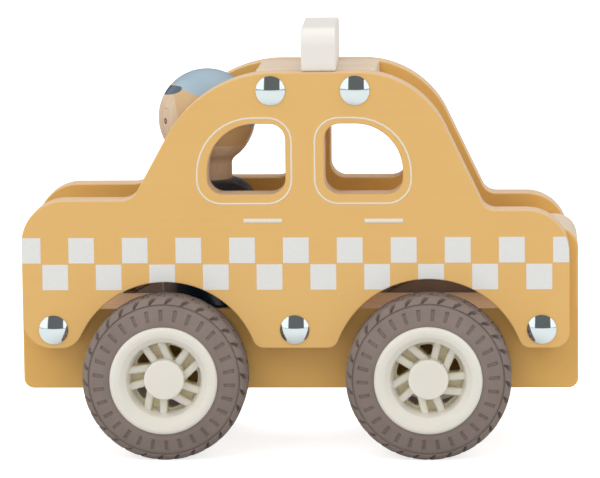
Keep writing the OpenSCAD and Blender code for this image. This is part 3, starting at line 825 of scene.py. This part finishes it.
# %% Raised outlines
def prism(outline, low, high, soft=0.0):
    """Raises a flat outline between two heights, with its upper edges rounded by soft. All in millimetres."""
    shape = bmesh.new()
    floor = shape.faces.new([shape.verts.new((x * MM, y * MM, low * MM)) for x, y in outline])
    raised = bmesh.ops.extrude_face_region(shape, geom=[floor])["geom"]
    corners = [part for part in raised if isinstance(part, bmesh.types.BMVert)]
    bmesh.ops.translate(shape, verts=corners, vec=(0, 0, (high - low) * MM))
    bmesh.ops.recalc_face_normals(shape, faces=shape.faces)
    if soft:
        upper = [edge for edge in shape.edges if min(v.co.z for v in edge.verts) > high * MM - NEAR]
        bmesh.ops.bevel(shape, geom=upper, offset=soft * MM, segments=3, profile=0.5, affect="EDGES")
    return shape


print("an outline is raised between two heights, and its upper edges can be rounded")

# %% Holes and spokes
SPOKE_PAIRS, SPOKE_W, SPOKE_SOFT, SPOKE_ROOT = 5, 2.4, 0.7, 2.0
HOLE_START, HOLE_R = Vector((6.7, -1.1)), 10.2
HOLE_MOUTH, LEAN_FAR, LEAN_NEAR = 1.0, 46.0, 16.0
# The outer corners of a hole take up this angle before its arc begins
HOLE_CORNER_DEG = 8
# Cutters and spokes reach this far past the faces of the web
THROUGH = 1.0


def lean_vector(angle):
    """A unit vector at an angle in degrees."""
    return Vector((cos(radians(angle)), sin(radians(angle))))


def run_to(start, run, radius):
    """The point where a straight run from start leaves a circle about the hub."""
    along = start.dot(run)
    return start + run * (sqrt(along ** 2 - start.length_squared + radius ** 2) - along)


hole_far = HOLE_START + Vector((0, HOLE_MOUTH))
far_run, near_run = lean_vector(LEAN_FAR), lean_vector(-LEAN_NEAR)
far_out, near_out = run_to(hole_far, far_run, HOLE_R), run_to(HOLE_START, near_run, HOLE_R)
arc_ends = ((near_out, HOLE_CORNER_DEG), (far_out, -HOLE_CORNER_DEG))
spread = [degrees(atan2(end.y, end.x)) + inwards for end, inwards in arc_ends]
hole_corners = [(*hole_far, 0.4), (*HOLE_START, 0.4), (*near_out, 0.7)]
hole_corners += [(*point, 0) for point in arc(0, 0, HOLE_R, *spread, 6)]
hole_corners += [(*far_out, 0.7)]
hole_outline = rounded_path(hole_corners)

spokes = bmesh.new()
for start, run, aside in ((hole_far, far_run, 1), (HOLE_START, near_run, -1)):
    across = Vector((-run.y, run.x)) * aside * SPOKE_W
    root, tip = start - run * SPOKE_ROOT, run_to(start, run, (OPEN_R + SEAT_R) / 2)
    bar = prism([root, tip, tip + across, root + across], WEB_FRONT - THROUGH, SPOKE_TOP, soft=SPOKE_SOFT)
    copy = as_mesh(bar, "bar")
    spokes.from_mesh(copy)
    bpy.data.meshes.remove(copy)
print("hole outline:", len(hole_outline), "points")

# %% [markdown]
# Five turned copies of the hole and of the spokes make the pattern. The tree cuts the holes first and then
# joins the spokes to the body, so that the rim is one closed shape without faces hidden inside.

# %% Rim tree
def round_the_axle(tree, given, count):
    """Points for copies round the Z axis, as many as a named input says, and the turn of each copy."""
    points = out(tree, "GeometryNodePoints", {"Count": given[count]})
    pitch = maths(tree, "DIVIDE", 2 * pi, given[count])
    angle = maths(tree, "MULTIPLY_ADD", out(tree, "GeometryNodeInputIndex"), pitch, given["Turn"])
    return points, out(tree, "ShaderNodeCombineXYZ", {"Z": angle})


rim_tree, given = start_tree("spoked_rim", {
    "Hole": "Object", "Spokes": "Object", "Pairs": "Int", "Turn": "Float", "Plastic": "Material"})
points, turn = round_the_axle(rim_tree, given, "Pairs")
rings = {}
for label in ("Hole", "Spokes"):
    single = add(rim_tree, "GeometryNodeObjectInfo", {"Object": given[label]}).outputs["Geometry"]
    rings[label] = copies_at(rim_tree, points, single, turn)
cut = {"Mesh 1": given["Mesh"], "Mesh 2": rings["Hole"]}
cut = out(rim_tree, "GeometryNodeMeshBoolean", cut, operation="DIFFERENCE", solver="MANIFOLD")
joined = add(rim_tree, "GeometryNodeMeshBoolean", operation="UNION", solver="MANIFOLD")
for part in (cut, rings["Spokes"]):
    rim_tree.links.new(part, joined.inputs["Mesh 2"])
end_tree(rim_tree, joined.outputs[0], given["Plastic"])
print("rim tree:", len(rim_tree.nodes), "nodes")

# %% Four rims
# The wheels' inner ends stand this far from the middle of the car
WHEEL_IN = -rim_high[1]
# Where the spokes stood when the photograph was taken, in degrees; the far wheels are free
RIM_TURNS = {"front_left": -3, "front_right": 40, "rear_left": 21, "rear_right": 10}


def wheel_place(wheel):
    """The matrix that takes a wheel's own frame, its axis along Z, to its place on the car."""
    low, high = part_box(wheel + "_tyre")
    side = SIDES[wheel.split("_")[1]]
    spot = ((low[0] + high[0]) / 2, side * WHEEL_IN, (low[2] + high[2]) / 2)
    return Matrix.Translation(spot) @ Matrix.Rotation(-side * pi / 2, 4, "X")


# Inside the web's radius, the faces below this height are the deep ones, which get the painted bounce light
DEEP_BELOW = SPOKE_TOP - 0.3
hole = prism(hole_outline, WEB_BACK - THROUGH, WEB_FRONT + THROUGH)
rim_hole = placed("rim_hole", as_mesh(hole, "rim_hole"))
rim_spokes = placed("rim_spokes", as_mesh(spokes, "rim_spokes"))
for wheel, turn_deg in RIM_TURNS.items():
    body = as_mesh(turned_shape(rim_profile, steps=120), "rim_body")
    mesh = grow(rim_tree, body, {
        "Hole": rim_hole, "Spokes": rim_spokes, "Pairs": SPOKE_PAIRS, "Turn": radians(turn_deg),
        "Plastic": abs_white})
    mesh.materials.append(abs_painted_bounce)
    # Deep faces take the second finish, whose lighter tone is painted bounce light
    for face in mesh.polygons:
        deep = face.center.z < DEEP_BELOW * MM and face.center.xy.length < WEB_R * MM
        face.material_index = int(deep)
    mesh.transform(wheel_place(wheel))
    smooth(mesh, crease=30)
    level_shading(finished("moulded_" + wheel + "_rim", mesh, wheel + "_rim"))
bpy.data.objects.remove(rim_hole)
bpy.data.objects.remove(rim_spokes)

# %% [markdown]
# ## Tyres
# The tyres are moulded in soft taupe rubber: short slots on the wall, a fine ring, and slanting grooves
# that run over the shoulder and meet in chevrons on the tread. All of it repeats thirty times round the
# wheel, so one sector is shaped as a height field and Geometry Nodes turn it round the axle and weld it.

# %% Rubber
# Rubber from a blasted mould has a grain of about 0.2 mm, drawn at 0.5 mm
RUBBER_GRAIN_MM = 0.5
CLOUD_MM = 9

rubber, tree, shader, place = start_finish("moulded_taupe_rubber", 0.78, ior=1.52)
vary(tree, shader, ranged(tree, noise(tree, place, CLOUD_MM, 3.0), 0.3, 0.7), ("#897B74", "#81736C"))
vary(tree, shader, noise(tree, place, RUBBER_GRAIN_MM, 3.0), sheen=(0.7, 0.86), bump=(0.5, 0.02))
print("rubber:", rubber.name)

# %% [markdown]
# The relief of a tyre could be cut out groove by groove. A height field is quicker and leaves even faces:
# a section gives the surface and the way it faces, and a depth at every point presses it in.

# %% Tyre section
tyre_low, tyre_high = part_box("front_left_tyre")
TYRE_R = (tyre_high[0] - tyre_low[0]) / 2 / MM
SHOULDER_R, SHOULDER_START = 3.2, 66.0
WALL_OUT, WALL_IN = WHEEL_W - 1.3, 0.8
FLAT_R, WALL_FALL = 18.6, 1.8
FIT = 0.05
RING_W, RING_DEEP = 0.75, 0.5
SLOT_LOW, SLOT_HIGH = 19.1, 22.3
SOFT = 0.14

ring_r = TYRE_R - SHOULDER_R * (1 - cos(radians(SHOULDER_START)))
crest = WALL_OUT - WALL_FALL - SHOULDER_R * sin(radians(SHOULDER_START))
crown = (WALL_OUT + WALL_IN) / 2
wall_tilt = atan2(WALL_FALL, ring_r - FLAT_R)


def half_section(foot_r, rows, arc_rows, crown_rows):
    """Points (radius, height) of one half of the section, from its foot to the middle of the tread, with the
    way that the surface faces there and the distance from the ring along it (negative on the wall)."""
    lean = (sin(wall_tilt), cos(wall_tilt))
    points = [(r, WALL_OUT, 0, 1, r - ring_r) for r in (foot_r, (foot_r + FLAT_R) / 2, FLAT_R)]
    dips = [(r, 0) for r in np.linspace(SLOT_LOW - SOFT, SLOT_HIGH + SOFT, rows)]
    # The rows of the ring stop just short of its outer edge, where the shoulder starts
    parts = np.linspace(0, 0.92, 7)
    dips += [(ring_r - RING_W * (1 - part), RING_DEEP * sin(pi * part) ** 2) for part in parts]
    for r, dip in dips:
        height = WALL_OUT - (r - FLAT_R) * tan(wall_tilt) - dip
        points.append((r, height, *lean, r - ring_r))
    for a in np.linspace(SHOULDER_START, 0, arc_rows):
        c, s = cos(radians(a)), sin(radians(a))
        along = SHOULDER_R * radians(SHOULDER_START - a)
        points.append((TYRE_R - SHOULDER_R * (1 - c), crest + SHOULDER_R * s, c, s, along))
    reach = points[-1][4]
    for h in np.linspace(crest, crown, crown_rows)[1:]:
        points.append((TYRE_R, h, 1, 0, reach + crest - h))
    return np.array(points)


outer = half_section(RIM_R + FIT, rows=18, arc_rows=26, crown_rows=18)
inner = half_section(BACK_FLANGE_R + FIT, rows=2, arc_rows=10, crown_rows=10)[-2::-1].copy()
inner[:, 1] = WALL_OUT + WALL_IN - inner[:, 1]
inner[:, 3] = -inner[:, 3]
print("tyre section:", len(outer) + len(inner), "points, half the tread:", round(outer[-1, 4], 1), "mm")

# %% Tyre relief
SECTORS = 30
COLUMNS = 30
SLOT_W, SLOT_DEEP = 1.2, 0.5
NOTCH_END_SOFT = 0.3
# A notch starts with this share of its width and opens to all of it over this length
TAPER_SHARE, TAPER_MM = 0.55, 0.9
# Each row of notches: where it starts and ends, counted over the shoulder from the ring, its middle as a
# share of the sector, its lean, and its half width and depth
NOTCHES = (
    (0.15, 3.6, 0.81, 0.68, 0.75, 1.3),
    (4.4, 6.6, 0.7, -0.5, 0.95, 1.4),
    (6.0, 8.4, 0.2, 0.4, 0.6, 1.1),
    (7.4, 13.0, 0.7, 0.4, 0.6, 1.1),
)


def fade(distance, half, soft=SOFT):
    """1 inside a groove of a half width, falling to 0 over the soft edge."""
    return np.clip((half + soft / 2 - distance) / soft, 0, 1)


def relief(section, share, slots):
    """Depth in millimetres at each point of a section and each share of a sector."""
    r, s = section[:, :1], section[:, 4:5]
    pitch = 2 * pi * np.maximum(r, ring_r) / SECTORS
    depth = np.zeros_like(r * share)
    for start, end, middle, lean, half, deep in NOTCHES:
        at = middle + lean * (s - start) / (2 * pi * TYRE_R / SECTORS)
        beside = np.abs((share - at + 0.5) % 1 - 0.5) * pitch
        along = fade(np.abs(s - (start + end) / 2), (end - start) / 2, NOTCH_END_SOFT)
        taper = np.clip((s - start) / TAPER_MM, TAPER_SHARE, 1)
        depth = np.maximum(depth, deep * along * fade(beside, half * taper))
    if slots:
        # The slots are on the wall only, where the distance from the ring is negative
        ends = fade(np.abs(r - (SLOT_LOW + SLOT_HIGH) / 2), (SLOT_HIGH - SLOT_LOW) / 2) * (s < -0.5)
        depth = np.maximum(depth, SLOT_DEEP * ends * fade(np.abs(share - 0.5) * pitch, SLOT_W / 2))
    return depth


print("tread:", SECTORS, "sectors with", len(NOTCHES), "notches each")

# %% Tyre sector
share = np.linspace(0, 1, COLUMNS + 1)[None, :]
rows = []
for section, slots in ((outer, True), (inner, False)):
    depth = relief(section, share, slots)
    rows.append(section[:, None, :2] - section[:, None, 2:4] * depth[..., None])
seat_low, seat_high = FLANGE + FIT, WHEEL_W - FLANGE - FIT
seat = np.array([
    (BACK_FLANGE_R + FIT, seat_low), (SEAT_R + FIT, seat_low),
    (SEAT_R + FIT, seat_high), (RIM_R + FIT, seat_high)])
rows.append(np.repeat(seat[:, None, :], COLUMNS + 1, 1))
grid = np.concatenate(rows)
turn = -share * 2 * pi / SECTORS
spots = np.stack([grid[..., 0] * np.cos(turn), grid[..., 0] * np.sin(turn), grid[..., 1]], -1) * MM
count, wide = grid.shape[:2]
faces = []
for at in range(count):
    low, high = at * wide, (at + 1) % count * wide
    faces += [(low + c, low + c + 1, high + c + 1, high + c) for c in range(COLUMNS)]
print("tyre sector:", len(faces), "faces,", 2 * SECTORS * len(faces), "triangles in a tyre")

# %% Tyre tree
tyre_tree, given = start_tree("moulded_tyre", {
    "Sectors": "Int", "Turn": "Float", "Weld": "Float", "Rubber": "Material"})
points, turn = round_the_axle(tyre_tree, given, "Sectors")
ring = copies_at(tyre_tree, points, given["Mesh"], turn)
ring = out(tyre_tree, "GeometryNodeMergeByDistance", {"Geometry": ring, "Distance": given["Weld"]})
end_tree(tyre_tree, ring, given["Rubber"])
print("tyre tree:", len(tyre_tree.nodes), "nodes")

# %% Four tyres
SECTOR_WELD = 0.004 * MM
# Where the slots stood when the photograph was taken, in degrees; the far wheels are free
TYRE_TURNS = {"front_left": 1.7, "front_right": 5.0, "rear_left": -4.0, "rear_right": 9.0}
for wheel, turn_deg in TYRE_TURNS.items():
    sector = bpy.data.meshes.new("sector")
    sector.from_pydata(spots.reshape(-1, 3).tolist(), [], faces)
    mesh = grow(tyre_tree, sector, {
        "Sectors": SECTORS, "Turn": radians(turn_deg), "Weld": SECTOR_WELD, "Rubber": rubber})
    mesh.transform(wheel_place(wheel))
    shape = bmesh.new()
    shape.from_mesh(mesh)
    bmesh.ops.recalc_face_normals(shape, faces=shape.faces)
    shape.to_mesh(mesh)
    shape.free()
    smooth(mesh, crease=60)
    finished("moulded_" + wheel + "_tyre", mesh, wheel + "_tyre")

# %% [markdown]
# ## Driver
# The driver is turned from two pieces of wood. The body is dipped in navy lacquer, thick enough to pool
# into a smooth gloss. The head stays bare but for a pale blue cap, a dark visor, tan hair and two eyes,
# all painted on, so they are zones of one finish. Each zone's edge is stored on the mesh as a distance.

# %% Driver's body
body_low, body_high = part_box("driver_body")
DRIVER_X = (body_low[0] + body_high[0]) / 2
BODY_R = (body_high[0] - body_low[0]) / 2 / MM
BODY_FOOT, BODY_TOP = body_low[2] / MM, body_high[2] / MM
SHOULDER_BODY_R = 7.5
SPIGOT_R, SPIGOT_L = 5.0, 8.0

body_profile = rounded_path([
    (0, BODY_FOOT, 0), (BODY_R, BODY_FOOT, 1.0), (BODY_R, BODY_TOP, SHOULDER_BODY_R),
    (SPIGOT_R + FIT, BODY_TOP, 0.0), (SPIGOT_R + FIT, BODY_TOP - SPIGOT_L - FIT, 0),
    (0, BODY_TOP - SPIGOT_L - FIT, 0)], step=6)
shape = turned_shape(body_profile, steps=128)
shape.transform(Matrix.Translation((DRIVER_X, 0, 0)))
finished("lacquered_driver_body", as_mesh(shape, "driver_body", [navy_lacquer]), "driver_body")

# %% [markdown]
# The head is a ball on a neck, with the small hollow that a chisel leaves between them. It is turned in one
# piece with the spigot that is glued into the body.

# %% Driver's head
head_low, head_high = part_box("driver_head")
HEAD_BALL_R = (head_high[0] - head_low[0]) / 2 / MM
BALL_Z = head_high[2] / MM - HEAD_BALL_R
NECK_R = 7.8
# The chisel leaves a hollow of this radius between the ball and the neck
HOLLOW_R = 3.0
# The head stands on a film of glue
GLUE = 0.02

hollow_x = NECK_R + HOLLOW_R
hollow_z = BALL_Z - sqrt((HEAD_BALL_R + HOLLOW_R) ** 2 - hollow_x ** 2)
meet = degrees(atan2(hollow_z - BALL_Z, hollow_x))
head_profile = [(0, BALL_Z + HEAD_BALL_R)] + arc(0, BALL_Z, HEAD_BALL_R, 90, meet, 110)[1:]
head_profile += arc(hollow_x, hollow_z, HOLLOW_R, meet + 180, 180, 8)[1:]
head_profile += [(NECK_R, BODY_TOP + GLUE), (SPIGOT_R, BODY_TOP + GLUE)]
head_profile += [(SPIGOT_R, BODY_TOP - SPIGOT_L), (0, BODY_TOP - SPIGOT_L)]
shape = turned_shape(head_profile, steps=192)
shape.transform(Matrix.Translation((DRIVER_X, 0, 0)))
head = as_mesh(shape, "driver_head", crease=50)
print("head:", len(head.vertices), "points")

# %% [markdown]
# Brushed paint is too thin to be seen as a shape, so none is added. Each zone is the distance to its edge,
# which the finish turns into a crisp line, and curved edges need no picture that is wrapped round a ball.

# %% Painted zones of the head
# All from the middle of the ball, in millimetres; the visor is a leaf that tapers to both sides
VISOR_HALF_DEG = 54
VISOR_Z, VISOR_HALF_H, VISOR_LIFT = 9.0, 1.5, 0.8
# The cap's edge falls towards the back and is a little bent; in front, bare wood parts it from the visor
CAP_EDGE, CAP_FALL, CAP_BEND = 7.12, 0.475, 0.0147
CAP_GAP, GAP_HALF_DEG, GAP_FADE_DEG = 0.3, 34, 10
# The hair ends in front at a leaning edge and below at a nearly level one
HAIR_FRONT, HAIR_LEAN = 7.8, 0.224
HAIR_LOW, HAIR_TILT = 7.8, 0.06

co = np.empty(len(head.vertices) * 3)
head.vertices.foreach_get("co", co)
dx, dy, dz = (co.reshape(-1, 3) / MM - (DRIVER_X / MM, 0, BALL_Z)).T
turned_from_front = np.degrees(np.abs(np.arctan2(dy, -dx)))
along = turned_from_front / VISOR_HALF_DEG
visor = VISOR_HALF_H * np.sqrt(np.clip(1 - along ** 4, 0, 1)) - np.abs(dz - VISOR_Z - VISOR_LIFT * along ** 2)
gap = CAP_GAP * np.clip((GAP_HALF_DEG - turned_from_front) / GAP_FADE_DEG, 0, 1)
zones = {
    "cap": np.minimum(dz - (CAP_EDGE - CAP_FALL * dx - CAP_BEND * dx ** 2), -visor - gap),
    "visor": np.where(along < 1, visor, -1.0),
    "hair": np.minimum(dx + HAIR_FRONT + HAIR_LEAN * dz, dz + HAIR_LOW + HAIR_TILT * dx),
}
for zone, inside in zones.items():
    head.attributes.new(zone, "FLOAT", "POINT").data.foreach_set("value", inside.astype(np.float32))
print("head zones:", {zone: int((inside > 0).sum()) for zone, inside in zones.items()})

# %% Painted head
# The painter's edge is about 0.1 mm soft
BRUSH_MM = 0.05
BRUSHED_SHEEN = 0.3
ZONE_PAINTS = {"hair": "#CBA87A", "cap": "#9EB3C0", "visor": "#3A5163"}

head_paint = head_wood.copy()
head_paint.name = "turned_beech_with_brushed_paint"
tree = head_paint.node_tree
shader = tree.nodes["Principled BSDF"]
colour = shader.inputs["Base Color"].links[0].from_socket
dry = shader.inputs["Roughness"].links[0].from_socket
for zone, code in ZONE_PAINTS.items():
    edge = add(tree, "ShaderNodeAttribute", attribute_name=zone).outputs["Fac"]
    cover = ranged(tree, edge, -BRUSH_MM, BRUSH_MM)
    colour = blended(tree, cover, colour, linear(code))
    dry = out(tree, "ShaderNodeMix", {0: cover, 2: dry, 3: BRUSHED_SHEEN})
tree.links.new(colour, shader.inputs["Base Color"])
tree.links.new(dry, shader.inputs["Roughness"])
head.materials.append(head_paint)
finished("turned_driver_head", head, "driver_head")

# %% [markdown]
# The eyes are drops of dark paint, each with a paler speck that is a painted highlight. A drop dries as a
# low lens on the wood, so it is a real, very flat shape that follows the ball.

# %% Drops of paint
DROP_H, DROP_STEPS = 0.06, 24
# The section of a drop: shares of its half width and of its height
DROP_SECTION = ((0, 1), (0.5, 0.85), (0.85, 0.45), (1, 0), (1, -1))
DROP_CLOUD_MM = 0.8


def brushed_enamel(name, tones):
    """A drop of enamel from a fine brush: it levels out as it dries, so it ends up smooth and glossy."""
    enamel, tree, shader, place = start_finish(name, 0.22)
    vary(tree, shader, noise(tree, place, DROP_CLOUD_MM, 2.0), tones)
    return enamel


def paint_drop(shape, place, wide, high, lift, finish_at):
    """Adds a low oval lens of paint to a shape, on the ball of the head at a place from its middle."""
    out = Vector(place).normalized()
    side = Vector((0, 0, 1)).cross(out).normalized()
    top = out.cross(side)
    middle = Vector((DRIVER_X, 0, BALL_Z * MM))
    rings = []
    for share, rise in DROP_SECTION:
        angles = [2 * pi * at / DROP_STEPS for at in range(DROP_STEPS)]
        flat = [out * HEAD_BALL_R + (side * cos(a) * wide + top * sin(a) * high) * share / 2 for a in angles]
        height = (HEAD_BALL_R + lift + rise * DROP_H) * MM
        rings.append([spot.normalized() * height + middle for spot in flat])
    crown = shape.verts.new(rings[0][0])
    rings = [[shape.verts.new(spot) for spot in ring] for ring in rings[1:]]
    made = [shape.faces.new((crown, rings[0][at - 1], rings[0][at])) for at in range(DROP_STEPS)]
    for near, far in zip(rings, rings[1:]):
        made += [shape.faces.new((near[at - 1], far[at - 1], far[at], near[at])) for at in range(DROP_STEPS)]
    made.append(shape.faces.new(rings[-1][::-1]))
    for face in made:
        face.material_index = finish_at


enamels = [
    brushed_enamel("brown_enamel", ("#6B4335", "#5D382B")),
    brushed_enamel("rose_enamel_painted_highlight", ("#B08A7C", "#A67F70")),
    brushed_enamel("tan_enamel", ("#C9A987", "#C0A07D"))]
print("enamels:", ", ".join(enamel.name for enamel in enamels))

# %% Eyes and brows
EYE_SPOT = (-12.5, 9.1, -0.35)
BROW_SPOT = (-12.3, 8.75, 3.65)
# Each drop: its place on the right half of the face, its width and height, what it lies on, its enamel
# The second drop, the small pale speck on each eye, is a painted highlight
DROPS = ((EYE_SPOT, 1.7, 2.0, 0.0, 0), (EYE_SPOT, 0.7, 0.8, DROP_H, 1), (BROW_SPOT, 1.6, 0.7, 0.0, 2))

drops = bmesh.new()
for (x, y, z), *drop in DROPS:
    for half in SIDES.values():
        paint_drop(drops, (x, half * y, z), *drop)
bmesh.ops.recalc_face_normals(drops, faces=drops.faces)
finished("painted_eyes", as_mesh(drops, "eyes", enamels), "driver_head", stands_for=False)

# %% [markdown]
# ## Axles, bushes and dowels
# These pieces are straight rods and sleeves, so the CAD shapes are right as they are. Drawn steel has
# fine lines along the rod, moulded nylon is milky, and dowels are plain wood.

# %% Finishes on CAD nodes
# Drawing lines are about 0.05 mm apart; they are drawn at 0.2 mm
DRAWN_MM = 0.2
DRAWN_LENGTH_MM = 20
MILK_MM = 3

drawn_steel, tree, shader, place = start_finish("drawn_steel", 0.3)
shader.inputs["Metallic"].default_value = 1.0
lines = noise(tree, place, (DRAWN_MM, DRAWN_LENGTH_MM, DRAWN_MM), 2.0)
vary(tree, shader, lines, ("#CFCFD1", "#B4B5B8"), sheen=(0.24, 0.38))

nylon, tree, shader, place = start_finish("moulded_nylon", 0.45, ior=1.53)
vary(tree, shader, noise(tree, place, MILK_MM, 2.0), ("#E9E4D4", "#DFD9C6"), sheen=(0.4, 0.5))

CAD_FINISHES = {
    "front_axle": drawn_steel, "rear_axle": drawn_steel, "front_axle_bushes": nylon,
    "rear_axle_bushes": nylon, "sign_dowels": head_wood, "rear_block_dowels": head_wood}
for node, finish in CAD_FINISHES.items():
    nodes[node].material_slots[0].material = finish
print("CAD nodes with a finish:", ", ".join(CAD_FINISHES))

# %% [markdown]
# ## Measure and finish
# Both boxes, the CAD model's and the dressed toy's, are printed. The dressed toy has to stay inside
# the CAD model's box.

# %% Measure and finish
dressed_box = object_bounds()
boxes = {"cad": [list(corner) for corner in cad_box], "visual": [list(corner) for corner in dressed_box]}
print("boxes:", boxes)
